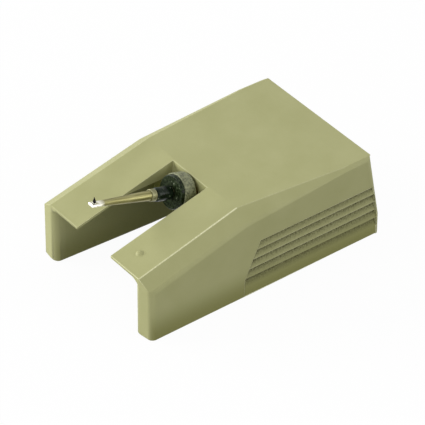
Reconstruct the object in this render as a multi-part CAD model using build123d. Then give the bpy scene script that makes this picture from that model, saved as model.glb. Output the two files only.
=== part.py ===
from build123d import *
from math import atan2, cos, hypot, radians, sin, tan
import os

os.makedirs("parts", exist_ok=True)

# Slip-on turntable stylus, lying with its tip up. X is across, the front (tip) is towards -Y,
# the cartridge enters from +Y, and the rims of the side walls stand on Z = 0. Sizes in mm.

# Holder, outside
slot_root_y = -1.86            # inner end of the slot between the arms
slot_length = 8.115            # slot root to the front of the arms
rear_length = 12.02            # slot root to the rear end of the side walls
holder_height = 6.86
front_half_width = 6.335
rear_half_width = 6.04
ramp_front_height = 4.72       # height of the arms' tops at their front end
crease_setback = 0.19          # ramp starts this far behind the slot root
rear_slant = 0.78              # roof's rear end, ahead of the walls' rear end
rear_slant_height = 1.60       # rear ends of the walls are upright up to here
front_end_slant = 0.20         # outer edges of the walls' front ends, behind the front of the arms
front_corner_radius = 0.45     # upright outer edges at the front
rear_corner_radius = 0.35      # outer edges of the rear ends, at the foot of their slant
rear_corner_top_radius = 0.65  # the same at the roof
front_foot_radius = 0.10       # lower front corners of the side walls
rear_foot_radius = 0.30
shoulder_width = 1.19          # soft shoulder outside the ramp's edge
shoulder_rear_width = 0.30     # the shoulder along the roof, behind the place where it has narrowed
shoulder_rear_y = 7.00         # that place
shoulder_flat_share = 0.83     # of the shoulder's width, taken by its first facet
shoulder_first_angle = 34      # slope of its first and last facet, below level
shoulder_last_angle = 74
shoulder_facets = 5

# Holder, inside
slot_half_width = 1.94
front_inner_half_width = 4.45  # between the side walls, at the front
bay_root_half_width = 4.14     # the same at the slot root and under the bulkhead
socket_half_width = 4.75       # behind the bulkhead
ceiling_height = 5.60
lip_thickness = 0.20           # thin roof over the front of the arms
ceiling_fillet = 0.35
mouth_radius = 0.85            # inner upright edges of the side walls' front ends
rim_radius = 0.30              # inner edge of the side walls' rims
bulkhead_length = 3.30         # slot root to the bulkhead's rear face
bulkhead_bottom = 2.50

# Lapped grip lines on the side walls
lap_count = 5
lap_pitch = 0.70
lap_top = 4.23                 # highest grip line
lap_depth = 0.26               # under each line
lap_edge_depth = 0.05          # at the lower edge of each lap
panel_top_y = -0.48            # front end of the highest grip line
panel_lean = 25.0              # lean of the panel's front end from upright
panel_foot_y = -2.03           # front end of the panel at the rim
panel_rear_margin = 0.30       # plain strip between the panel and the wall's rear end

# Pip on the right arm
pip_x = 3.30
pip_from_front = 1.43
pip_radius = 0.30
pip_height = 0.13

# Suspension axis, along which the stylus pieces are placed by their distance ahead of the slot root
axis_height = 5.51             # at the slot root
axis_angle = 16.0              # rises towards the tip
tube_radius = 0.95
tube_wall = 0.20
tube_rear = 6.60               # tube's rear end, behind the slot root
seat_rear = 0.42
seat_radius = 1.30
seat_length = 1.00
seat_bore_radius = 0.62
seat_recess = 0.34             # depth of the seat's pocket for the tube's end
ring_radius = 1.22
ring_length = 0.30
collar_radius = 0.50
collar_length = 1.35
shank_radius = 0.30            # rear stem of the joint sleeve
sleeve_radius = 0.44
sleeve_length = 0.42
sleeve_socket_depth = 0.30
magnet_radius = 0.52
magnet_length = 2.00
magnet_front = 0.50
wire_radius = 0.035
wire_bore_radius = 0.19        # room for the wire while the stem tilts
anchor_length = 1.20
cantilever_root_radius = 0.36
cantilever_neck_radius = 0.22
cantilever_wall = 0.08
neck_from_root = 7.45          # where the tube starts to flatten
flat_from_root = 7.95          # where it is flat
cantilever_end = 8.64
flat_width = 0.58
flat_thickness = 0.20
stylus_from_end = 0.33         # diamond's axis, behind the end of the cantilever
stylus_shank_radius = 0.12
stylus_shank_stand = 0.06      # shank's top above the flattened end
tip_radius = 0.11
tip_cylinder = 0.12
tip_cone = 0.33
tip_point_radius = 0.018

# Clearances
glue_gap = 0.01                # radial gap of pieces glued or pressed together
damper_gap = 0.04              # radial room of the stem in the rubber ring
collar_gap = 0.07              # the same in the collar, where the stem swings further
tilt_gap = 0.05                # room between the pieces that tilt against each other
overrun = 2.0                  # how far cutting shapes pass the faces they cut

# Places that follow from the sizes
on_foot = (Align.CENTER, Align.CENTER, Align.MIN)
front_y = slot_root_y - slot_length
rear_y = slot_root_y + rear_length
rear_top_y = rear_y - rear_slant
crease_y = slot_root_y + crease_setback
bulkhead_rear_y = slot_root_y + bulkhead_length
ramp_slope = (holder_height - ramp_front_height) / (crease_y - front_y)
lip_drop = lip_thickness / cos(atan2(ramp_slope, 1))
wall_taper = (front_half_width - rear_half_width) / (rear_y - front_y)
front_corner_y = front_y + front_end_slant
ramp_edge_half_width = front_half_width - shoulder_width
bay_taper = (front_inner_half_width - bay_root_half_width) / slot_length
tube_bore_radius = tube_radius - tube_wall
seat_front = seat_rear + seat_length
tube_front = seat_rear + seat_recess
ring_front = seat_front + ring_length
pivot_place = seat_front + ring_length / 2
collar_rear = ring_front + tilt_gap
collar_front = collar_rear + collar_length
sleeve_rear = collar_front + tilt_gap
sleeve_front = sleeve_rear + sleeve_length
magnet_rear = magnet_front - magnet_length
stylus_place = cantilever_end - stylus_from_end


def outer_half_width(y):
    return front_half_width - wall_taper * (y - front_y)


def ramp_height(y):
    return ramp_front_height + ramp_slope * (y - front_y)


def wall_end(height):
    # rear end of the walls at a height on their slant
    return rear_y - rear_slant * (height - rear_slant_height) / (holder_height - rear_slant_height)


def across(face, half_width):
    return extrude(face, half_width, both=True)


def side_polygon(points):
    return Plane.YZ * make_face(Polyline(*points, close=True))


def rounded_corners(face, radii):
    # radii maps a corner's place, in the sketch's own axes, to its radius
    for (u, v), radius in radii.items():
        corner = min(face.vertices(), key=lambda vertex: hypot(vertex.X - u, vertex.Y - v))
        face = fillet(corner, radius)
    return face


def outer_block():
    corner_x = outer_half_width(front_corner_y)
    plan = make_face(
        Polyline(
            (-corner_x, front_corner_y),
            (-ramp_edge_half_width, front_y),
            (ramp_edge_half_width, front_y),
            (corner_x, front_corner_y),
            (rear_half_width, rear_y),
            (-rear_half_width, rear_y),
            close=True,
        )
    )
    plan = rounded_corners(
        plan,
        {
            (-corner_x, front_corner_y): front_corner_radius,
            (corner_x, front_corner_y): front_corner_radius,
        },
    )
    side = make_face(
        Polyline(
            (front_y, 0),
            (rear_y, 0),
            (rear_y, rear_slant_height),
            (rear_top_y, holder_height),
            (crease_y, holder_height),
            (front_y, ramp_front_height),
            close=True,
        )
    )
    side = rounded_corners(side, {(front_y, 0): front_foot_radius, (rear_y, 0): rear_foot_radius})
    return extrude(plan, holder_height) & across(Plane.YZ * side, front_half_width + overrun)


def shoulder_steps():
    # drops and offsets of the shoulder's lines, from the ramp's edge out to the wall
    share = (shoulder_last_angle - shoulder_first_angle) / (shoulder_facets - 1)
    angles = [radians(shoulder_first_angle + share * i) for i in range(shoulder_facets)]
    first_length = shoulder_flat_share * shoulder_width / cos(angles[0])
    length = (1 - shoulder_flat_share) * shoulder_width / sum(cos(angle) for angle in angles[1:])
    steps = [(shoulder_width, 0.0)]
    for angle in angles:
        inset, drop = steps[-1]
        reach = first_length if angle == angles[0] else length
        steps.append((inset - reach * cos(angle), drop + reach * sin(angle)))
    return steps


def cut_by_plane(solid, a, b, c):
    # keeps what lies below the plane through three points
    normal = (Vector(*b) - Vector(*a)).cross(Vector(*c) - Vector(*a))
    if normal.Z > 0:
        normal = normal * -1
    return split(solid, bisect_by=Plane(origin=a, z_dir=normal), keep=Keep.TOP)


def cut_shoulders(solid):
    steps = shoulder_steps()
    narrowing = shoulder_rear_width / shoulder_width
    for side in (1, -1):
        for (inset, drop), (next_inset, next_drop) in zip(steps, steps[1:]):
            lines = []
            for y, share in ((front_y, 1), (crease_y, 1), (shoulder_rear_y, narrowing), (rear_top_y, narrowing)):
                wide = outer_half_width(y)
                high = min(ramp_height(y), holder_height)
                lines.append((side * (wide - share * inset), y, high - share * drop))
                lines.append((side * (wide - share * next_inset), y, high - share * next_drop))
            front_high, front_low, crease_high, crease_low, narrow_high, narrow_low, rear_high = lines[:7]
            solid = cut_by_plane(solid, front_high, front_low, crease_high)
            solid = cut_by_plane(solid, crease_high, crease_low, narrow_high)
            solid = cut_by_plane(solid, narrow_high, narrow_low, rear_high)
    return solid


def rounded_ceiling(solid, height):
    # fillets the long upper edges of a hollow where its ceiling meets the side walls
    def runs_along_wall(edge):
        return edge.bounding_box().min.Z > height and abs(edge.center().X) > slot_half_width

    edges = [edge for edge in solid.edges() if runs_along_wall(edge)]
    edges = [edge for edge in edges if edge.bounding_box().size.Y > ceiling_fillet]
    return fillet(edges, ceiling_fillet)


def front_bay():
    lip_end_y = front_y + (ceiling_height + lip_drop - ramp_front_height) / ramp_slope
    ahead_y = front_y - overrun
    plan = make_face(
        Polyline(
            (-front_half_width - overrun, ahead_y),
            (front_half_width + overrun, ahead_y),
            (front_half_width + overrun, front_y),
            (front_inner_half_width, front_y),
            (bay_root_half_width, slot_root_y),
            (-bay_root_half_width, slot_root_y),
            (-front_inner_half_width, front_y),
            (-front_half_width - overrun, front_y),
            close=True,
        )
    )
    mouth = {(side * front_inner_half_width, front_y): mouth_radius for side in (1, -1)}
    plan = rounded_corners(plan, mouth)
    side = side_polygon(
        [
            (ahead_y, -overrun),
            (slot_root_y, -overrun),
            (slot_root_y, ceiling_height),
            (lip_end_y, ceiling_height),
            (ahead_y, ramp_height(ahead_y) - lip_drop),
        ]
    )
    bay = extrude(Pos(0, 0, -overrun) * plan, holder_height + overrun)
    return rounded_ceiling(bay & across(side, front_half_width + 2 * overrun), bulkhead_bottom)


def socket():
    rear_end = rear_y + overrun
    side = side_polygon(
        [
            (bulkhead_rear_y, -overrun),
            (rear_end, -overrun),
            (rear_end, ceiling_height),
            (bulkhead_rear_y, ceiling_height),
        ]
    )
    return rounded_ceiling(across(side, socket_half_width), bulkhead_bottom)


def passage_under_bulkhead():
    side = side_polygon(
        [
            (slot_root_y - glue_gap, -overrun),
            (bulkhead_rear_y + glue_gap, -overrun),
            (bulkhead_rear_y + glue_gap, bulkhead_bottom),
            (slot_root_y - glue_gap, bulkhead_bottom),
        ]
    )
    return across(side, bay_root_half_width)


def slot_between_arms():
    side = side_polygon(
        [
            (front_y - overrun, bulkhead_bottom),
            (slot_root_y, bulkhead_bottom),
            (slot_root_y, holder_height + overrun),
            (front_y - overrun, holder_height + overrun),
        ]
    )
    return across(side, slot_half_width)


def grip_panel_space():
    # side view of the grip panel, with its leaning front end
    low = lap_top - lap_pitch * (lap_count - 1)
    low_y = panel_top_y - (lap_top - low) * tan(radians(panel_lean))
    side = side_polygon(
        [
            (panel_top_y, lap_top),
            (low_y, low),
            (panel_foot_y, -overrun),
            (rear_y - panel_rear_margin, -overrun),
            (rear_y - panel_rear_margin, rear_slant_height),
            (wall_end(lap_top) - panel_rear_margin, lap_top),
        ]
    )
    return across(side, front_half_width + overrun)


def wall_plane():
    # on the right wall's outer face, with its first axis outwards and its second axis up
    turn = atan2(wall_taper, 1)
    return Plane(
        origin=(front_half_width, front_y, 0),
        x_dir=(cos(turn), sin(turn), 0),
        z_dir=(sin(turn), -cos(turn), 0),
    )


def grip_laps():
    # each lap leans out towards its lower edge, like lapped boards
    profiles = []
    for i in range(lap_count):
        high = lap_top - lap_pitch * i
        low = high - lap_pitch
        profiles.append([(overrun, high), (-lap_depth, high), (-lap_edge_depth, low), (overrun, low)])
    foot = lap_top - lap_pitch * lap_count
    profiles.append([(overrun, foot), (-lap_edge_depth, foot), (-lap_edge_depth, -overrun), (overrun, -overrun)])
    run = rear_y - front_y + overrun
    laps = [extrude(wall_plane() * make_face(Polyline(*points, close=True)), -run) for points in profiles]
    right = (Part() + laps) & grip_panel_space()
    return [right, mirror(right, Plane.YZ)]


def pip():
    # low dome on the ramp, its foot sunk half way into the thin roof
    sphere_radius = (pip_radius ** 2 + pip_height ** 2) / (2 * pip_height)
    y = front_y + pip_from_front
    place = Plane(origin=(pip_x, y, ramp_height(y)), x_dir=(1, 0, 0), z_dir=(0, -ramp_slope, 1))
    dome = Pos(0, 0, pip_height - sphere_radius) * Sphere(sphere_radius)
    foot = Pos(0, 0, -lip_thickness / 2) * Cylinder(sphere_radius, 2 * sphere_radius, align=on_foot)
    return place * (dome & foot)


def axis_plane():
    lean = radians(axis_angle)
    return Plane(
        origin=(0, slot_root_y, axis_height),
        x_dir=(1, 0, 0),
        z_dir=(0, -cos(lean), sin(lean)),
    )


def rod(radius, start, end):
    # solid cylinder on the suspension axis
    middle = Pos(0, 0, (start + end) / 2)
    return axis_plane() * middle * Cylinder(radius, end - start)


def tube(radius, bore, start, end):
    return rod(radius, start, end) - rod(bore, start - overrun, end + overrun)


def relief_section(place, inward, along, radius):
    # outside of a rounded edge of the right wall, seen along the edge, with the material towards inward
    corner = Pos(radius - overrun / 2, radius - overrun / 2) * Rectangle(overrun, overrun)
    corner -= Pos(radius, radius) * Circle(radius)
    return Plane(origin=place, x_dir=inward, z_dir=along * -1) * corner


def rim_relief(start, end, inward):
    along = Vector(*end) - Vector(*start)
    return extrude(relief_section(start, inward, along, rim_radius), -along.length)


def rear_relief(start, end, start_radius, end_radius):
    along = Vector(*end) - Vector(*start)
    inward = (-1, -wall_taper, 0)
    sections = [
        relief_section(start, inward, along, start_radius),
        relief_section(end, inward, along, end_radius),
    ]
    return loft(sections, ruled=True)


def wall_reliefs():
    # inner edges of the rims, and the outer edges of the rear ends
    front = (front_inner_half_width + bay_taper * overrun, front_y - overrun, 0)
    root = (bay_root_half_width, slot_root_y, 0)
    passage_end = (bay_root_half_width, bulkhead_rear_y, 0)
    socket_front = (socket_half_width, bulkhead_rear_y, 0)
    rear = (socket_half_width, rear_y + overrun, 0)
    slant_top = (outer_half_width(rear_top_y), rear_top_y, holder_height)
    slant_low = (outer_half_width(wall_end(-overrun)), wall_end(-overrun), -overrun)
    low_share = (holder_height + overrun) / (holder_height - rear_slant_height)
    low_radius = rear_corner_top_radius + low_share * (rear_corner_radius - rear_corner_top_radius)
    upright_top = (rear_half_width, rear_y, rear_slant_height + rear_corner_radius)
    upright_foot = (rear_half_width, rear_y, -overrun)
    right = rim_relief(front, root, (1, bay_taper, 0))
    right += rim_relief(root, passage_end, (1, 0, 0))
    right += rim_relief(socket_front, rear, (1, 0, 0))
    right += rear_relief(slant_top, slant_low, rear_corner_top_radius, low_radius)
    right += rear_relief(upright_top, upright_foot, rear_corner_radius, rear_corner_radius)
    return [right, mirror(right, Plane.YZ)]


def stylus_holder():
    holder = cut_shoulders(outer_block())
    holder -= front_bay()
    holder -= socket()
    holder -= passage_under_bulkhead()
    holder -= slot_between_arms()
    holder -= wall_reliefs()
    holder -= grip_laps()
    holder += pip()
    holder -= rod(tube_radius + glue_gap, -tube_rear - overrun, overrun)
    return holder


def suspension_tube():
    return tube(tube_radius, tube_bore_radius, -tube_rear, tube_front)


def damper_seat():
    cap = tube(seat_radius, seat_bore_radius, seat_rear, seat_front)
    return cap - rod(tube_radius + glue_gap, seat_rear - overrun, tube_front)


def damper_ring():
    return tube(ring_radius, shank_radius + damper_gap, seat_front, ring_front)


def pivot_collar():
    return tube(collar_radius, shank_radius + collar_gap, collar_rear, collar_front)


def joint_sleeve():
    cup = rod(sleeve_radius, sleeve_rear, sleeve_front)
    stem = rod(shank_radius, magnet_rear, sleeve_rear)
    cup_socket = rod(cantilever_root_radius + glue_gap, sleeve_front - sleeve_socket_depth, sleeve_front + overrun)
    wire_bore = rod(wire_bore_radius, magnet_rear - overrun, pivot_place)
    return cup + stem - cup_socket - wire_bore


def magnet():
    return tube(magnet_radius, shank_radius + glue_gap, magnet_rear, magnet_front)


def tension_wire():
    return rod(wire_radius, -tube_rear, pivot_place - tilt_gap)


def wire_anchor():
    return tube(tube_bore_radius - glue_gap, wire_radius + glue_gap, -tube_rear, -tube_rear + anchor_length)


def section(distance):
    return axis_plane().offset(distance)


def stylus_column(radius, low, high):
    # upright cylinder through the flattened end, measured from the suspension axis
    foot = section(stylus_place).origin
    return Pos(foot.X, foot.Y, foot.Z + (low + high) / 2) * Cylinder(radius, high - low)


def cantilever():
    root = sleeve_front - sleeve_socket_depth
    body = rod(cantilever_root_radius, root, sleeve_front)
    body += loft(
        [
            section(sleeve_front) * Circle(cantilever_root_radius),
            section(neck_from_root) * Circle(cantilever_neck_radius),
        ]
    )
    hollow = rod(cantilever_root_radius - cantilever_wall, root - overrun, sleeve_front)
    hollow += loft(
        [
            section(sleeve_front) * Circle(cantilever_root_radius - cantilever_wall),
            section(neck_from_root) * Circle(cantilever_neck_radius - cantilever_wall),
        ]
    )
    flat = SlotOverall(flat_width, flat_thickness)
    body += loft([section(neck_from_root) * Circle(cantilever_neck_radius), section(flat_from_root) * flat])
    body += extrude(section(flat_from_root) * flat, cantilever_end - flat_from_root)
    hole = stylus_column(stylus_shank_radius + glue_gap, -overrun, overrun)
    return body - hollow - hole


def stylus_shank():
    return stylus_column(stylus_shank_radius, -flat_thickness / 2, flat_thickness / 2 + stylus_shank_stand)


def diamond_tip():
    base = flat_thickness / 2 + stylus_shank_stand
    column = stylus_column(tip_radius, base, base + tip_cylinder)
    foot = section(stylus_place).origin
    middle = Pos(foot.X, foot.Y, foot.Z + base + tip_cylinder + tip_cone / 2)
    return column + middle * Cone(tip_radius, tip_point_radius, tip_cone)


pieces = {
    "stylus_holder": stylus_holder(),
    "suspension_tube": suspension_tube(),
    "damper_seat": damper_seat(),
    "damper_ring": damper_ring(),
    "pivot_collar": pivot_collar(),
    "joint_sleeve": joint_sleeve(),
    "cantilever": cantilever(),
    "stylus_shank": stylus_shank(),
    "diamond_tip": diamond_tip(),
    "magnet": magnet(),
    "tension_wire": tension_wire(),
    "wire_anchor": wire_anchor(),
}
for name, shape in pieces.items():
    export_step(shape, f"parts/{name}.step")
pivot = section(pivot_place).origin
print("pivot of the cantilever", round(pivot.Y, 4), round(pivot.Z, 4))
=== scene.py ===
import bpy
import bmesh
from math import cos, pi, radians, sin
from mathutils import Matrix, Vector


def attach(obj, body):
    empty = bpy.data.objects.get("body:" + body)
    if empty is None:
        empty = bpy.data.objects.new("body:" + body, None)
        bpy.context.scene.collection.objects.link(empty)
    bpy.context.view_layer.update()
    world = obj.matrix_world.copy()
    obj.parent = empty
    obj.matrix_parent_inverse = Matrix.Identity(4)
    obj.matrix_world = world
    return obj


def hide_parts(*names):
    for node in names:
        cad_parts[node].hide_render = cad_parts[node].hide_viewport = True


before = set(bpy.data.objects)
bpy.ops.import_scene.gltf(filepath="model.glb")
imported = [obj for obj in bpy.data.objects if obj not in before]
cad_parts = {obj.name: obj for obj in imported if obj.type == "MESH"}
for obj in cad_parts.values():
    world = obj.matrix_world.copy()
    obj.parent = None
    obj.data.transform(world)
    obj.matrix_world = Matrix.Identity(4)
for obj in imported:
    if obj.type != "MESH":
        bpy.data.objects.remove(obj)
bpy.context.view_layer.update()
scene = bpy.context.scene
scene.view_settings.view_transform = "Standard"
mm = 0.001
print("frame loaded:", len(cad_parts), "nodes")

# camera at the photograph's angle
cameraPlace = {
    "azimuth": 52.771, "elevation": 37.185, "roll": 0.263, "distance": 244.458, "aim": (0.1722, -0.036, 2.7676),
    "lens": 299.222, "sensor": 36, "clip": (0.01, 20),
}


def makeCamera():
    turn, rise = radians(cameraPlace["azimuth"]), radians(cameraPlace["elevation"])
    back = Vector((sin(turn) * cos(rise), -cos(turn) * cos(rise), sin(rise)))
    roll = Matrix.Rotation(radians(cameraPlace["roll"]), 3, back)
    right = roll @ Vector((cos(turn), sin(turn), 0))
    up = back.cross(right)
    lens = bpy.data.cameras.new("photoCamera")
    lens.lens, lens.sensor_width = cameraPlace["lens"], cameraPlace["sensor"]
    lens.clip_start, lens.clip_end = cameraPlace["clip"]
    camera = bpy.data.objects.new("photoCamera", lens)
    place = (Vector(cameraPlace["aim"]) + back * cameraPlace["distance"]) * mm
    camera.matrix_world = Matrix.Translation(place) @ Matrix((right, up, back)).transposed().to_4x4()
    scene.collection.objects.link(camera)
    scene.camera = camera


# low soft light from the left, weaker ones from the front and the right, and a white room
softBoxes = {
    "softBoxLeft": {"from": (-0.82, -0.66, 0.21), "distance": 0.60, "size": 0.42, "power": 4.6},
    "softBoxFront": {"from": (0.30, -0.95, 0.08), "distance": 0.60, "size": 0.30, "power": 1.05},
    "softBoxRight": {"from": (0.80, 0.52, 0.31), "distance": 0.60, "size": 0.30, "power": 0.92},
}
studioRoom = {"light": 0.56, "floor": 0.12, "whiteness": 0.96, "floorSize": 2.0}


def whiteRays(tree):
    # 1 for rays that show the background itself, in view or mirrored or through glass
    rays = tree.nodes.new("ShaderNodeLightPath")
    total = rays.outputs["Is Camera Ray"]
    for kind in ("Is Glossy Ray", "Is Transmission Ray"):
        larger = tree.nodes.new("ShaderNodeMath")
        larger.operation = "MAXIMUM"
        tree.links.new(total, larger.inputs[0])
        tree.links.new(rays.outputs[kind], larger.inputs[1])
        total = larger.outputs[0]
    return total


def makeStudio():
    for name, box in softBoxes.items():
        lamp = bpy.data.lights.new(name, "AREA")
        lamp.energy, lamp.size = box["power"], box["size"]
        softBox = bpy.data.objects.new(name, lamp)
        softBox.location = Vector(box["from"]).normalized() * box["distance"]
        softBox.rotation_euler = softBox.location.to_track_quat("Z", "Y").to_euler()
        scene.collection.objects.link(softBox)

    world = bpy.data.worlds.new("whiteRoom")
    world.use_nodes = True
    scene.world = world
    tree = world.node_tree
    backdrop = tree.nodes["Background"]
    backdrop.inputs["Color"].default_value = (1, 1, 1, 1)
    level = spreadValue(tree, whiteRays(tree), studioRoom["light"], 1)
    tree.links.new(level, backdrop.inputs["Strength"])

    bm = bmesh.new()
    bmesh.ops.create_grid(bm, x_segments=1, y_segments=1, size=studioRoom["floorSize"])
    floor = meshObject("floor", bm)
    material, tree, card = startMaterial("paleFloor")
    seen = whiteRays(tree)
    tree.links.new(spreadValue(tree, seen, studioRoom["floor"], 1), card.inputs["Base Color"])
    card.inputs["Roughness"].default_value = 1
    card.inputs["Specular IOR Level"].default_value = 0
    white = tree.nodes.new("ShaderNodeEmission")
    mix = tree.nodes.new("ShaderNodeMixShader")
    tree.links.new(spreadValue(tree, seen, 0, studioRoom["whiteness"]), mix.inputs[0])
    tree.links.new(card.outputs[0], mix.inputs[1])
    tree.links.new(white.outputs[0], mix.inputs[2])
    tree.links.new(mix.outputs[0], tree.nodes["Material Output"].inputs["Surface"])
    floor.data.materials.append(material)


def meshObject(name, bm):
    mesh = bpy.data.meshes.new(name)
    bm.to_mesh(mesh)
    bm.free()
    piece = bpy.data.objects.new(name, mesh)
    scene.collection.objects.link(piece)
    return piece


def finishPiece(piece, node, body, material):
    piece.data.materials.clear()
    piece.data.materials.append(material)
    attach(piece, body)
    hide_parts(node)


def shadeByAngle(bm, limit):
    for face in bm.faces:
        face.smooth = True
    for edge in bm.edges:
        edge.smooth = edge.calc_face_angle(0) < radians(limit)


# shared surface effects
grainRange = {"low": 0.3, "high": 0.7, "cloudDetail": 3, "grainDetail": 5}
plainLook = {
    "pattern": "Clouds", "alongAxis": 1.0, "metal": 0.0, "ior": 1.5, "shine": 0.5, "bumpStrength": 0.3, "speckPower": 16,
}


def groupSockets(group, inputs, outputs):
    for name, kind in inputs:
        group.interface.new_socket(name, in_out="INPUT", socket_type=kind)
    for name, kind in outputs:
        group.interface.new_socket(name, in_out="OUTPUT", socket_type=kind)
    return group.nodes.new("NodeGroupInput"), group.nodes.new("NodeGroupOutput")


def makeGrain():
    # soft clouds and a fine grain, both from 0 to 1
    group = bpy.data.node_groups.new("surfaceGrain", "ShaderNodeTree")
    given, result = groupSockets(
        group,
        [("Vector", "NodeSocketVector"), ("Cloud Scale", "NodeSocketFloat"), ("Grain Scale", "NodeSocketFloat")],
        [("Clouds", "NodeSocketFloat"), ("Grain", "NodeSocketFloat")],
    )
    layers = (("Cloud Scale", "Clouds", grainRange["cloudDetail"]), ("Grain Scale", "Grain", grainRange["grainDetail"]))
    for scale, output, detail in layers:
        noise = group.nodes.new("ShaderNodeTexNoise")
        noise.inputs["Detail"].default_value = detail
        group.links.new(given.outputs["Vector"], noise.inputs["Vector"])
        group.links.new(given.outputs[scale], noise.inputs["Scale"])
        spread = group.nodes.new("ShaderNodeMapRange")
        spread.inputs["From Min"].default_value = grainRange["low"]
        spread.inputs["From Max"].default_value = grainRange["high"]
        group.links.new(noise.outputs["Fac"], spread.inputs["Value"])
        group.links.new(spread.outputs[0], result.inputs[output])
    return group


def startMaterial(name):
    material = bpy.data.materials.new(name)
    material.use_nodes = True
    tree = material.node_tree
    return material, tree, tree.nodes["Principled BSDF"]


def addGrain(tree, cloudScale, grainScale, alongAxis):
    # alongAxis below 1 stretches the pattern along the suspension axis
    place = tree.nodes.new("ShaderNodeTexCoord")
    turned = tree.nodes.new("ShaderNodeMapping")
    turned.vector_type = "TEXTURE"
    turned.inputs["Rotation"].default_value = (-radians(suspension["angle"]), 0, 0)
    turned.inputs["Scale"].default_value = (1, 1 / alongAxis, 1)
    grain = tree.nodes.new("ShaderNodeGroup")
    grain.node_tree = surfaceGrain
    grain.inputs["Cloud Scale"].default_value = cloudScale
    grain.inputs["Grain Scale"].default_value = grainScale
    tree.links.new(place.outputs["Object"], turned.inputs["Vector"])
    tree.links.new(turned.outputs[0], grain.inputs["Vector"])
    return grain


def mixColours(tree, factor, first, second):
    mix = tree.nodes.new("ShaderNodeMix")
    mix.data_type = "RGBA"
    for socket, colour in ((mix.inputs[6], first), (mix.inputs[7], second)):
        if isinstance(colour, tuple):
            socket.default_value = colour
        else:
            tree.links.new(colour, socket)
    tree.links.new(factor, mix.inputs[0])
    return mix.outputs[2]


def spreadValue(tree, value, low, high):
    spread = tree.nodes.new("ShaderNodeMapRange")
    spread.inputs["To Min"].default_value = low
    spread.inputs["To Max"].default_value = high
    tree.links.new(value, spread.inputs["Value"])
    return spread.outputs[0]


def readMark(tree, name, share):
    # a mark on the mesh, from 0 to share
    mark = tree.nodes.new("ShaderNodeAttribute")
    mark.attribute_name = name
    return spreadValue(tree, mark.outputs["Fac"], 0, share)


def multiply(tree, first, second):
    product = tree.nodes.new("ShaderNodeMath")
    product.operation = "MULTIPLY"
    tree.links.new(first, product.inputs[0])
    tree.links.new(second, product.inputs[1])
    return product.outputs[0]


def nearFoot(tree, low, high):
    # painted shade towards the foot: 1 at the lower height and below, 0 at the upper one and above, on faces that look
    # sideways
    place = tree.nodes.new("ShaderNodeTexCoord")
    split = tree.nodes.new("ShaderNodeSeparateXYZ")
    fade = tree.nodes.new("ShaderNodeMapRange")
    fade.interpolation_type = "SMOOTHSTEP"
    for socket, value in zip(("From Min", "From Max", "To Min", "To Max"), (low * mm, high * mm, 1, 0)):
        fade.inputs[socket].default_value = value
    tree.links.new(place.outputs["Object"], split.inputs[0])
    tree.links.new(split.outputs["Z"], fade.inputs["Value"])
    facing = tree.nodes.new("ShaderNodeSeparateXYZ")
    tree.links.new(place.outputs["Normal"], facing.inputs[0])
    return multiply(tree, fade.outputs[0], multiply(tree, facing.outputs["X"], facing.outputs["X"]))


def addBump(tree, shader, height, strength, distance):
    bump = tree.nodes.new("ShaderNodeBump")
    bump.inputs["Strength"].default_value = strength
    bump.inputs["Distance"].default_value = distance * mm
    tree.links.new(height, bump.inputs["Height"])
    tree.links.new(bump.outputs[0], shader.inputs["Normal"])


def fromScreen(red, green, blue):
    # screen values 0 to 255 as linear light
    def linear(value):
        value = value / 255
        return value / 12.92 if value <= 0.04045 else ((value + 0.055) / 1.055) ** 2.4
    return (linear(red), linear(green), linear(blue), 1)


def makeFinish(name, changes):
    # a finish of two colours in one of the grain's patterns, with the fine grain in its roughness and relief
    look = {**plainLook, **changes}
    material, tree, shader = startMaterial(name)
    grain = addGrain(tree, look["clouds"], look["grain"], look["alongAxis"])
    pattern = grain.outputs[look["pattern"]]
    colour = mixColours(tree, pattern, fromScreen(*look["deep"]), fromScreen(*look["pale"]))
    if "glint" in look:
        # painted glints: light specks where the grain stands highest
        specks = tree.nodes.new("ShaderNodeMath")
        specks.operation = "POWER"
        specks.inputs[1].default_value = look["speckPower"]
        tree.links.new(grain.outputs["Grain"], specks.inputs[0])
        colour = mixColours(tree, specks.outputs[0], colour, fromScreen(*look["glint"]))
    tree.links.new(colour, shader.inputs["Base Color"])
    tree.links.new(spreadValue(tree, grain.outputs["Grain"], *look["rough"]), shader.inputs["Roughness"])
    shader.inputs["Metallic"].default_value = look["metal"]
    shader.inputs["IOR"].default_value = look["ior"]
    shader.inputs["Specular IOR Level"].default_value = look["shine"]
    addBump(tree, shader, grain.outputs["Grain"], look["bumpStrength"], look["bump"])
    return material


suspension = {"start": -1.86, "height": 5.51, "angle": 16.0}  # foot of the tilted axis at the slot root
axisFrame = Matrix.Translation((0, suspension["start"] * mm, suspension["height"] * mm)) @ Matrix.Rotation(
    radians(90 - suspension["angle"]), 4, "X"
)
surfaceGrain = makeGrain()

# khaki moulding
holderShape = {
    "frontWide": 6.335, "taper": 0.01465, "front": -9.975, "crease": -1.67, "height": 6.86, "slope": 0.2577,
    "shoulder": 1.19, "shoulderNarrowing": 0.1027, "shoulderLeast": 0.30, "slot": 1.94,
    "lapTop": 4.23, "lapDepth": 0.26, "lapEdge": 0.05, "panelFront": -2.5, "panelRear": 9.87,
    "insideNarrow": 3.5, "insideWide": 4.95, "insideTop": 0.1, "mouthDepth": 0.4,
}
holderEdges = {
    "merge": 0.012, "flat": 0.8, "sharp": 50, "shortest": 0.2, "round": 0.035, "steps": 2, "shading": 60,
    "rampEdge": (32.5, 35.5), "rampLength": 4.5, "rampRound": 0.055,
}
# strength of the painted highlight along each edge of the moulding, weaker on the left side
edgeHighlightTones = {
    "rampFront": 0.6, "rampRear": 1.1, "roof": 0.18, "slot": 0.30, "lap": 0.9, "lip": 0.4, "rear": 0.25, "leftShare": 0.2,
}
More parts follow.
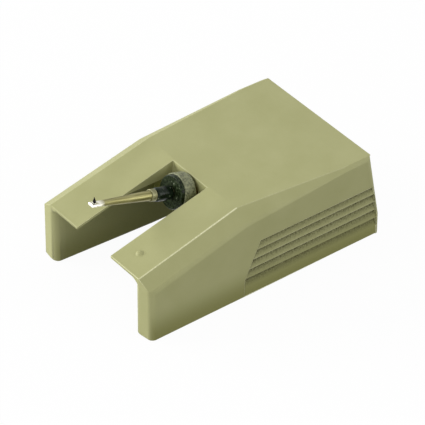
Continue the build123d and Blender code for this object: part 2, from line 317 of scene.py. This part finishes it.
# how near in mm a place counts as on that edge; sideways and rearward are least parts of a face's normal
edgeReach = {
    "ridge": 0.12, "crease": 0.1, "lip": 0.15, "lapSide": 0.13, "lapTop": 0.05, "lapShadeSide": 0.4, "lapShadeTop": 0.02,
    "sideways": 0.7, "rearward": 0.25,
}
# edge is the painted highlight colour for the rounded edges; the colours for the laps, the foot and the inside of the
# bay are painted shade
holderLook = {
    "pale": (178, 178, 128), "deep": (172, 172, 121), "clouds": 420, "grain": 9000, "alongAxis": 1.0,
    "edge": (238, 237, 196), "edgeHighlightShare": 0.75, "lapShade": (68, 66, 27), "lapShadeShare": 1.0, "broken": (0.55, 1.45),
    "foot": (134, 134, 78), "footHeights": (0.1, 2.7), "inside": (98, 100, 36), "insideShadeShare": 0.9,
    "rough": (0.46, 0.62), "shine": 0.28, "bump": 0.010, "bumpStrength": 0.25,
}


def makeHolderPlastic():
    look = holderLook
    material, tree, shader = startMaterial("holderPlastic")
    grain = addGrain(tree, look["clouds"], look["grain"], look["alongAxis"])
    body = mixColours(tree, grain.outputs["Clouds"], fromScreen(*look["deep"]), fromScreen(*look["pale"]))
    # painted shade, darker towards the foot of the walls
    footShaded = mixColours(tree, nearFoot(tree, *look["footHeights"]), body, fromScreen(*look["foot"]))
    # painted shade inside the bay, deeper towards the slot's root
    inner = mixColours(tree, readMark(tree, "inside", look["insideShadeShare"]), footShaded, fromScreen(*look["inside"]))
    broken = spreadValue(tree, grain.outputs["Grain"], *look["broken"])
    # painted shade at the sunk top of each lap, broken up by the grain
    lapShade = multiply(tree, readMark(tree, "lapShade", look["lapShadeShare"]), broken)
    shaded = mixColours(tree, lapShade, inner, fromScreen(*look["lapShade"]))
    # painted highlight along the rounded edges, broken up by the grain
    edgeHighlight = multiply(tree, readMark(tree, "edge", look["edgeHighlightShare"]), broken)
    colour = mixColours(tree, edgeHighlight, shaded, fromScreen(*look["edge"]))
    tree.links.new(colour, shader.inputs["Base Color"])
    tree.links.new(spreadValue(tree, grain.outputs["Grain"], *look["rough"]), shader.inputs["Roughness"])
    shader.inputs["Specular IOR Level"].default_value = look["shine"]
    addBump(tree, shader, grain.outputs["Grain"], look["bumpStrength"], look["bump"])
    return material


def holderWide(y):
    return holderShape["frontWide"] - holderShape["taper"] * (y - holderShape["front"])


def rampHeight(y):
    return holderShape["height"] - max(0, holderShape["crease"] - y) * holderShape["slope"]


def edgeHighlightTone(place):
    # how bright the painted highlight along an edge looks, by which edge of the moulding it is
    s, reach = holderShape, edgeReach
    side, y, z = abs(place.x) / mm, place.y / mm, place.z / mm
    if abs(z - rampHeight(y)) < reach["ridge"]:
        behind = max(0, y - s["crease"])
        inset = max(s["shoulderLeast"], s["shoulder"] - behind * s["shoulderNarrowing"])
        if abs(side - holderWide(y) + inset) < reach["ridge"]:
            along = min(1, (y - s["front"]) / (s["crease"] - s["front"]))
            tone = edgeHighlightTones["rampFront"] + (edgeHighlightTones["rampRear"] - edgeHighlightTones["rampFront"]) * along
            if behind > reach["crease"]:
                tone = edgeHighlightTones["roof"]
            return tone if place.x > 0 else tone * edgeHighlightTones["leftShare"]
        if abs(side - s["slot"]) < reach["ridge"]:
            return edgeHighlightTones["slot"]
        if y < s["front"] + reach["lip"]:
            return edgeHighlightTones["lip"]
    inPanel = s["panelFront"] < y < s["panelRear"] and z < s["lapTop"] + reach["lapTop"]
    if inPanel and side > holderWide(y) - reach["lapSide"]:
        return edgeHighlightTones["lap"]
    return 0.0


def lapShadeTone(place, facing):
    # painted shade under each lap's overhang: 1 at the sunk top of each lap, 0 at its lower edge
    s, reach = holderShape, edgeReach
    side, y, z = abs(place.x) / mm, place.y / mm, place.z / mm
    sunk = holderWide(y) - side
    inPanel = s["panelFront"] < y < s["panelRear"] and z <= s["lapTop"] + reach["lapShadeTop"]
    if not inPanel or abs(facing.x) < reach["sideways"] or sunk > reach["lapShadeSide"]:
        return 0.0
    return min(1, max(0, (sunk - s["lapEdge"]) / (s["lapDepth"] - s["lapEdge"])))


def insideShadeTone(place):
    # painted shade inside the bay: 0 at the mouth between the walls, 1 at the slot's root and behind it
    s = holderShape
    side, y, z = abs(place.x) / mm, place.y / mm, place.z / mm
    if not s["insideNarrow"] < side < s["insideWide"] or z > rampHeight(y) - s["insideTop"]:
        return 0.0
    mouth = s["front"] + s["mouthDepth"]
    return min(1, max(0, (y - mouth) / (suspension["start"] - mouth)))


def roundEdges(bm, corners, width, edgeHighlightMark):
    rounded = bmesh.ops.bevel(
        bm, geom=corners, offset=width * mm, offset_type="OFFSET", affect="EDGES", segments=holderEdges["steps"],
        profile=0.5, clamp_overlap=False, material=-1,
    )
    # painted highlight marks on the new rounded faces
    for face in rounded["faces"]:
        middle = face.calc_center_median()
        for corner in face.loops:
            corner[edgeHighlightMark] = edgeHighlightTone(corner.vert.co if middle.y < holderShape["crease"] * mm else middle)


def makeHolder():
    bm = bmesh.new()
    bm.from_mesh(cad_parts["stylus_holder"].data)
    bmesh.ops.remove_doubles(bm, verts=bm.verts, dist=holderEdges["merge"] * mm)
    bmesh.ops.dissolve_limit(bm, angle_limit=radians(holderEdges["flat"]), verts=bm.verts, edges=bm.edges)
    # marks for painted highlights on the edges, painted shade in the laps and painted shade inside the bay
    edgeHighlightMark = bm.loops.layers.float.new("edge")
    lapShadeMark = bm.loops.layers.float.new("lapShade")
    insideShadeMark = bm.verts.layers.float.new("inside")
    low, high = map(radians, holderEdges["rampEdge"])
    shortest = holderEdges["rampLength"] * mm
    ramp = [edge for edge in bm.edges if low < edge.calc_face_angle(0) < high and edge.calc_length() > shortest]
    roundEdges(bm, ramp, holderEdges["rampRound"], edgeHighlightMark)
    limit, shortest = radians(holderEdges["sharp"]), holderEdges["shortest"] * mm
    sharp = [edge for edge in bm.edges if edge.calc_face_angle(0) > limit and edge.calc_length() > shortest]
    roundEdges(bm, sharp, holderEdges["round"], edgeHighlightMark)
    for corner in bm.verts:
        corner.co.z = min(corner.co.z, holderShape["height"] * mm)
        # painted shade mark inside the bay
        corner[insideShadeMark] = insideShadeTone(corner.co)
    bm.normal_update()
    for face in bm.faces:
        behindPanel = face.calc_center_median().y > holderShape["panelRear"] * mm
        onCorner = min(face.normal.y, abs(face.normal.x)) > edgeReach["rearward"]
        for corner in face.loops:
            # painted shade in the laps
            corner[lapShadeMark] = lapShadeTone(corner.vert.co, face.normal)
            # painted highlight on the rear corner rounding behind the panel
            if behindPanel and onCorner:
                corner[edgeHighlightMark] = edgeHighlightTones["rear"]
    shadeByAngle(bm, holderEdges["shading"])
    piece = meshObject("holderBody", bm)
    weigh = piece.modifiers.new("evenShading", "WEIGHTED_NORMAL")
    weigh.keep_sharp = True
    finishPiece(piece, "stylus_holder", "holder", makeHolderPlastic())


# turned pieces on the tilted axis
turning = {"roundSteps": 5, "shading": 40, "onAxis": 1e-6, "merge": 1e-4}


def turnPiece(name, corners, placeMatrix, steps):
    # corners are radius, place along the axis and rounding, in order round the section
    bm = bmesh.new()
    marks = [bm.verts.new((radius * mm, 0, along * mm)) for radius, along, rounding in corners]
    bm.faces.new(marks)
    for mark, (radius, along, rounding) in zip(marks, corners):
        if rounding:
            bmesh.ops.bevel(
                bm, geom=[mark], offset=rounding * mm, offset_type="OFFSET", affect="VERTICES",
                segments=turning["roundSteps"], profile=0.5, material=-1,
            )
    bmesh.ops.delete(bm, geom=bm.faces[:], context="FACES_ONLY")
    onAxis = [edge for edge in bm.edges if all(abs(vert.co.x) < turning["onAxis"] * mm for vert in edge.verts)]
    bmesh.ops.delete(bm, geom=onAxis, context="EDGES")
    bmesh.ops.spin(
        bm, geom=bm.verts[:] + bm.edges[:], cent=(0, 0, 0), axis=(0, 0, 1), angle=2 * pi, steps=steps,
        use_merge=True, use_duplicate=False,
    )
    bmesh.ops.remove_doubles(bm, verts=bm.verts, dist=turning["merge"] * mm)
    bmesh.ops.recalc_face_normals(bm, faces=bm.faces)
    if bm.calc_volume(signed=True) < 0:
        bmesh.ops.reverse_faces(bm, faces=bm.faces)
    bmesh.ops.transform(bm, matrix=placeMatrix, verts=bm.verts)
    shadeByAngle(bm, turning["shading"])
    return meshObject(name, bm)


# grey cap over the front end of the tube
seatShape = {
    "rear": 0.42, "front": 1.42, "radius": 1.30, "bore": 0.62, "pocket": 0.34, "pocketRadius": 0.96,
    "round": 0.18, "edge": 0.07, "steps": 96,
}
seatLook = {
    "deep": (66, 69, 46), "pale": (156, 160, 124), "clouds": 900, "grain": 7500, "pattern": "Grain",
    "rough": (0.45, 0.75), "bump": 0.030, "bumpStrength": 0.6, "metal": 0.15,
}


def makeSeat():
    s = seatShape
    pocketFloor = s["rear"] + s["pocket"]
    corners = [
        (s["radius"], s["rear"], s["round"]), (s["radius"], s["front"], s["edge"]), (s["bore"], s["front"], s["edge"]),
        (s["bore"], pocketFloor, 0), (s["pocketRadius"], pocketFloor, 0), (s["pocketRadius"], s["rear"], 0),
    ]
    piece = turnPiece("seatCap", corners, axisFrame, s["steps"])
    finishPiece(piece, "damper_seat", "holder", makeFinish("seatGrey", seatLook))


# black rubber ring, the spring of the suspension
ringShape = {
    "rear": 1.42, "front": 1.72, "radius": 1.22, "bore": 0.34, "dish": 0.05, "dishRadius": 0.80,
    "round": 0.10, "rearEdge": 0.04, "dishEdge": 0.08, "boreEdge": 0.04, "boreRearEdge": 0.02, "steps": 96,
}
# glint is the colour of painted highlight specks on the rubber
ringLook = {
    "deep": (9, 14, 6), "pale": (46, 59, 33), "glint": (150, 156, 132), "clouds": 1600, "grain": 5200, "pattern": "Grain",
    "rough": (0.16, 0.45), "shine": 0.12, "bump": 0.030, "bumpStrength": 0.6,
}


def makeRing():
    s = ringShape
    dishFloor = s["front"] - s["dish"]
    corners = [
        (s["radius"], s["rear"], s["rearEdge"]), (s["radius"], s["front"], s["round"]),
        (s["dishRadius"], dishFloor, s["dishEdge"]), (s["bore"], dishFloor, s["boreEdge"]),
        (s["bore"], s["rear"], s["boreRearEdge"]),
    ]
    piece = turnPiece("damperRing", corners, axisFrame, s["steps"])
    finishPiece(piece, "damper_ring", "holder", makeFinish("damperRubber", ringLook))


# dark rubber collar in front of the ring
collarShape = {"rear": 1.77, "front": 3.12, "radius": 0.50, "bore": 0.37, "round": 0.13, "steps": 64}
# glint is the colour of painted highlight specks on the rubber
collarLook = {
    "deep": (6, 13, 7), "pale": (28, 42, 25), "glint": (120, 128, 108), "clouds": 2400, "grain": 5200,
    "rough": (0.14, 0.35), "shine": 0.15, "bump": 0.014,
}


def makeCollar():
    s = collarShape
    corners = [
        (s["radius"], s["rear"], s["round"]), (s["radius"], s["front"], s["round"]),
        (s["bore"], s["front"], 0), (s["bore"], s["rear"], 0),
    ]
    piece = turnPiece("pivotCollar", corners, axisFrame, s["steps"])
    finishPiece(piece, "pivot_collar", "collar", makeFinish("collarRubber", collarLook))


# metal sleeve between the magnet and the cantilever
sleeveShape = {
    "stemRear": -1.50, "rear": 3.17, "front": 3.59, "radius": 0.44, "stem": 0.30, "socket": 0.37, "socketDepth": 0.30,
    "bore": 0.19, "boreFront": 1.57, "round": 0.05, "stemEdge": 0.03, "socketEdge": 0.01, "steps": 64,
}
sleeveLook = {
    "deep": (104, 102, 68), "pale": (152, 151, 112), "clouds": 1800, "grain": 9000, "alongAxis": 8.0,
    "rough": (0.34, 0.50), "bump": 0.004, "metal": 0.5,
}


def makeSleeve():
    s = sleeveShape
    socketFloor = s["front"] - s["socketDepth"]
    corners = [
        (0, s["boreFront"], 0), (s["bore"], s["boreFront"], 0), (s["bore"], s["stemRear"], 0),
        (s["stem"], s["stemRear"], s["stemEdge"]), (s["stem"], s["rear"], 0), (s["radius"], s["rear"], s["round"]),
        (s["radius"], s["front"], s["round"]), (s["socket"], s["front"], s["socketEdge"]),
        (s["socket"], socketFloor, 0), (0, socketFloor, 0),
    ]
    piece = turnPiece("jointSleeve", corners, axisFrame, s["steps"])
    finishPiece(piece, "joint_sleeve", "stylus", makeFinish("sleeveMetal", sleeveLook))


# tapered tube with a flattened end
cantileverShape = {
    "root": 3.29, "sleeve": 3.59, "neck": 7.45, "flat": 7.95, "end": 8.64, "rootRadius": 0.36, "neckRadius": 0.22,
    "wall": 0.08, "flatWidth": 0.58, "flatThick": 0.20, "round": 0.03, "roundSteps": 3, "steps": 48,
    "taperAt": (0.25, 0.5, 0.75, 1.0), "flattenAt": (0.2, 0.4, 0.6, 0.8, 1.0), "endHighlightStart": 0.1,
}
# deep and pale give the holder mirrored in the tube, a painted reflection; bright is a painted highlight for the
# flattened end
cantileverLook = {
    "deep": (116, 111, 70), "pale": (162, 158, 112), "bright": (250, 248, 238), "clouds": 900, "grain": 9000,
    "alongAxis": 0.06, "rough": (0.34, 0.52), "metal": 1, "bump": 0.004, "bumpStrength": 0.3,
}
stylusPlace = {
    "y": -9.848, "z": 7.8006, "shank": 0.12, "low": -0.10, "stand": 0.16, "lowEdge": 0.01, "topEdge": 0.03,
    "hole": 0.13, "drillLength": 2, "steps": 40,
}


def makeCantileverMetal():
    look = cantileverLook
    material, tree, shader = startMaterial("cantileverMetal")
    grain = addGrain(tree, look["clouds"], look["grain"], look["alongAxis"])
    # drawn streaks along the tube, in a khaki tone that is a painted reflection of the holder
    drawnStreaksAndReflection = mixColours(tree, grain.outputs["Grain"], fromScreen(*look["deep"]), fromScreen(*look["pale"]))
    # painted highlight, turning near white towards the flattened end
    colour = mixColours(tree, readMark(tree, "endHighlight", 1), drawnStreaksAndReflection, fromScreen(*look["bright"]))
    tree.links.new(colour, shader.inputs["Base Color"])
    tree.links.new(spreadValue(tree, grain.outputs["Clouds"], *look["rough"]), shader.inputs["Roughness"])
    shader.inputs["Metallic"].default_value = look["metal"]
    addBump(tree, shader, grain.outputs["Grain"], look["bumpStrength"], look["bump"])
    return material


def tubeLoop(bm, along, radius, reach):
    # a ring whose halves are drawn apart by reach, round where reach is 0
    steps = cantileverShape["steps"]
    ring = bmesh.ops.create_circle(bm, segments=steps, radius=radius * mm, cap_ends=False)["verts"]
    bmesh.ops.rotate(bm, verts=ring, cent=(0, 0, 0), matrix=Matrix.Rotation(pi / steps, 3, "Z"))
    bmesh.ops.translate(bm, verts=ring, vec=(0, 0, along * mm))
    for side in (1, -1):
        half = [vert for vert in ring if vert.co.x * side > 0]
        bmesh.ops.translate(bm, verts=half, vec=(side * reach * mm, 0, 0))
    return [edge for edge in bm.edges if all(vert in set(ring) for vert in edge.verts)]


def between(first, second, share):
    return first + (second - first) * share


def tubeStations():
    # place along the axis, radius and reach of each ring of the outer skin
    s = cantileverShape
    flatReach = (s["flatWidth"] - s["flatThick"]) / 2
    stations = [(s["root"], s["rootRadius"], 0), (s["sleeve"], s["rootRadius"], 0)]
    for share in s["taperAt"]:
        radius = between(s["rootRadius"], s["neckRadius"], share)
        stations.append((between(s["sleeve"], s["neck"], share), radius, 0))
    for share in s["flattenAt"]:
        ease = share * share * (3 - 2 * share)
        radius = between(s["neckRadius"], s["flatThick"] / 2, ease)
        stations.append((between(s["neck"], s["flat"], share), radius, flatReach * ease))
    stations.append((s["end"], s["flatThick"] / 2, flatReach))
    return stations


def makeCantilever():
    s = cantileverShape
    bm = bmesh.new()
    endHighlight = bm.verts.layers.float.new("endHighlight")
    loops = [tubeLoop(bm, *station) for station in tubeStations()]
    for first, second in zip(loops, loops[1:]):
        bmesh.ops.bridge_loops(bm, edges=first + second)
    cap = bmesh.ops.edgeloop_fill(bm, edges=loops[-1])["faces"]
    bmesh.ops.bevel(
        bm, geom=cap[0].edges[:], offset=s["round"] * mm, offset_type="OFFSET", affect="EDGES",
        segments=s["roundSteps"], profile=0.5, material=-1,
    )
    rootBore, neckBore = s["rootRadius"] - s["wall"], s["neckRadius"] - s["wall"]
    hollow = [(s["root"], rootBore, 0), (s["sleeve"], rootBore, 0), (s["neck"], neckBore, 0)]
    inner = [tubeLoop(bm, *station) for station in hollow]
    for first, second in zip(inner, inner[1:]):
        bmesh.ops.bridge_loops(bm, edges=first + second)
    bmesh.ops.edgeloop_fill(bm, edges=inner[-1])
    bmesh.ops.bridge_loops(bm, edges=loops[0] + inner[0])
    bmesh.ops.recalc_face_normals(bm, faces=bm.faces)
    for vert in bm.verts:
        # painted highlight mark, rising from the neck to the flattened end
        vert[endHighlight] = min(1, max(0, (vert.co.z / mm - s["neck"] - s["endHighlightStart"]) / (s["flat"] - s["neck"])))
    bmesh.ops.transform(bm, matrix=axisFrame, verts=bm.verts)
    shadeByAngle(bm, turning["shading"])
    tube = meshObject("cantileverTube", bm)
    drillHole(tube)
    finishPiece(tube, "cantilever", "stylus", makeCantileverMetal())


def drillHole(piece):
    # hole for the shank through the flattened end
    radius = stylusPlace["hole"] * mm
    bm = bmesh.new()
    bmesh.ops.create_cone(
        bm, cap_ends=True, segments=stylusPlace["steps"], radius1=radius, radius2=radius, depth=stylusPlace["drillLength"] * mm,
    )
    bmesh.ops.translate(bm, verts=bm.verts, vec=(0, stylusPlace["y"] * mm, stylusPlace["z"] * mm))
    drill = meshObject("drill", bm)
    cut = piece.modifiers.new("shankHole", "BOOLEAN")
    cut.operation, cut.solver, cut.object = "DIFFERENCE", "EXACT", drill
    bpy.context.view_layer.update()
    drilled = bpy.data.meshes.new_from_object(piece.evaluated_get(bpy.context.evaluated_depsgraph_get()))
    piece.modifiers.remove(cut)
    piece.data = drilled
    bpy.data.objects.remove(drill)


# upright shank and diamond
tipShape = {
    "radius": 0.11, "base": 0.16, "shoulder": 0.28, "top": 0.61, "point": 0.018, "shoulderEdge": 0.02, "pointEdge": 0.012,
}
shankLook = {
    "deep": (206, 202, 190), "pale": (236, 234, 226), "clouds": 4000, "grain": 12000,
    "rough": (0.16, 0.30), "bump": 0.002, "metal": 1.0,
}
diamondLook = {
    "deep": (5, 5, 6), "pale": (16, 16, 18), "clouds": 5000, "grain": 12000,
    "rough": (0.06, 0.16), "bump": 0.001, "shine": 0.15,
}


def makeStylus():
    s, t = stylusPlace, tipShape
    upright = Matrix.Translation((0, s["y"] * mm, s["z"] * mm))
    corners = [
        (0, s["low"], 0), (s["shank"], s["low"], s["lowEdge"]), (s["shank"], s["stand"], s["topEdge"]), (0, s["stand"], 0),
    ]
    shank = turnPiece("stylusShank", corners, upright, s["steps"])
    finishPiece(shank, "stylus_shank", "stylus", makeFinish("shankMetal", shankLook))
    corners = [
        (0, t["base"], 0), (t["radius"], t["base"], 0), (t["radius"], t["shoulder"], t["shoulderEdge"]),
        (t["point"], t["top"], t["pointEdge"]), (0, t["top"], 0),
    ]
    tip = turnPiece("diamondTip", corners, upright, s["steps"])
    finishPiece(tip, "diamond_tip", "stylus", makeFinish("tipDiamond", diamondLook))


# inside pieces: plug tube, magnet, wire and its anchor
insideShape = {
    "tubeRear": -6.60, "tubeFront": 0.76, "tubeRadius": 0.95, "tubeBore": 0.75, "tubeEdge": 0.05, "tubeSteps": 80,
    "magnetRear": -1.50, "magnetFront": 0.50, "magnetRadius": 0.52, "magnetBore": 0.31, "magnetEdge": 0.04,
    "magnetSteps": 72, "wire": 0.035, "wireFront": 1.52, "wireEdge": 0.008, "wireSteps": 24,
    "anchorFront": -5.40, "anchorRadius": 0.74, "wireHole": 0.045, "anchorEdge": 0.03, "anchorSteps": 72,
}
brassLook = {
    "deep": (122, 104, 62), "pale": (168, 148, 96), "clouds": 700, "grain": 9000, "alongAxis": 0.08,
    "rough": (0.30, 0.48), "bump": 0.003, "metal": 1.0,
}
anchorLook = {
    "deep": (160, 128, 70), "pale": (200, 168, 104), "clouds": 1200, "grain": 9000,
    "rough": (0.28, 0.46), "bump": 0.003, "metal": 1.0,
}
magnetLook = {
    "deep": (96, 96, 102), "pale": (132, 132, 138), "clouds": 1500, "grain": 9000,
    "rough": (0.30, 0.46), "bump": 0.003, "metal": 1.0,
}
wireLook = {
    "deep": (150, 150, 156), "pale": (188, 188, 194), "clouds": 3000, "grain": 12000, "alongAxis": 0.05,
    "rough": (0.24, 0.36), "bump": 0.001, "metal": 1.0,
}


def hollowCorners(radius, bore, rear, front, edge):
    return [(radius, rear, edge), (radius, front, edge), (bore, front, edge / 2), (bore, rear, edge / 2)]


def makeInside():
    s = insideShape
    corners = hollowCorners(s["tubeRadius"], s["tubeBore"], s["tubeRear"], s["tubeFront"], s["tubeEdge"])
    plug = turnPiece("plugTube", corners, axisFrame, s["tubeSteps"])
    finishPiece(plug, "suspension_tube", "holder", makeFinish("tubeBrass", brassLook))
    corners = hollowCorners(s["magnetRadius"], s["magnetBore"], s["magnetRear"], s["magnetFront"], s["magnetEdge"])
    magnet = turnPiece("tubularMagnet", corners, axisFrame, s["magnetSteps"])
    finishPiece(magnet, "magnet", "stylus", makeFinish("magnetPlating", magnetLook))
    corners = [
        (0, s["tubeRear"], 0), (s["wire"], s["tubeRear"], s["wireEdge"]),
        (s["wire"], s["wireFront"], s["wireEdge"]), (0, s["wireFront"], 0),
    ]
    wire = turnPiece("tensionWire", corners, axisFrame, s["wireSteps"])
    finishPiece(wire, "tension_wire", "holder", makeFinish("wireSteel", wireLook))
    corners = hollowCorners(s["anchorRadius"], s["wireHole"], s["tubeRear"], s["anchorFront"], s["anchorEdge"])
    anchor = turnPiece("wireAnchor", corners, axisFrame, s["anchorSteps"])
    finishPiece(anchor, "wire_anchor", "holder", makeFinish("anchorBrass", anchorLook))


makeCamera()
makeStudio()
print("camera and studio done")
makeHolder()
print("holder done")
makeSeat()
makeRing()
makeCollar()
print("rubber mount done")
makeSleeve()
makeCantilever()
makeStylus()
print("cantilever and stylus done")
makeInside()
print("inside pieces done")
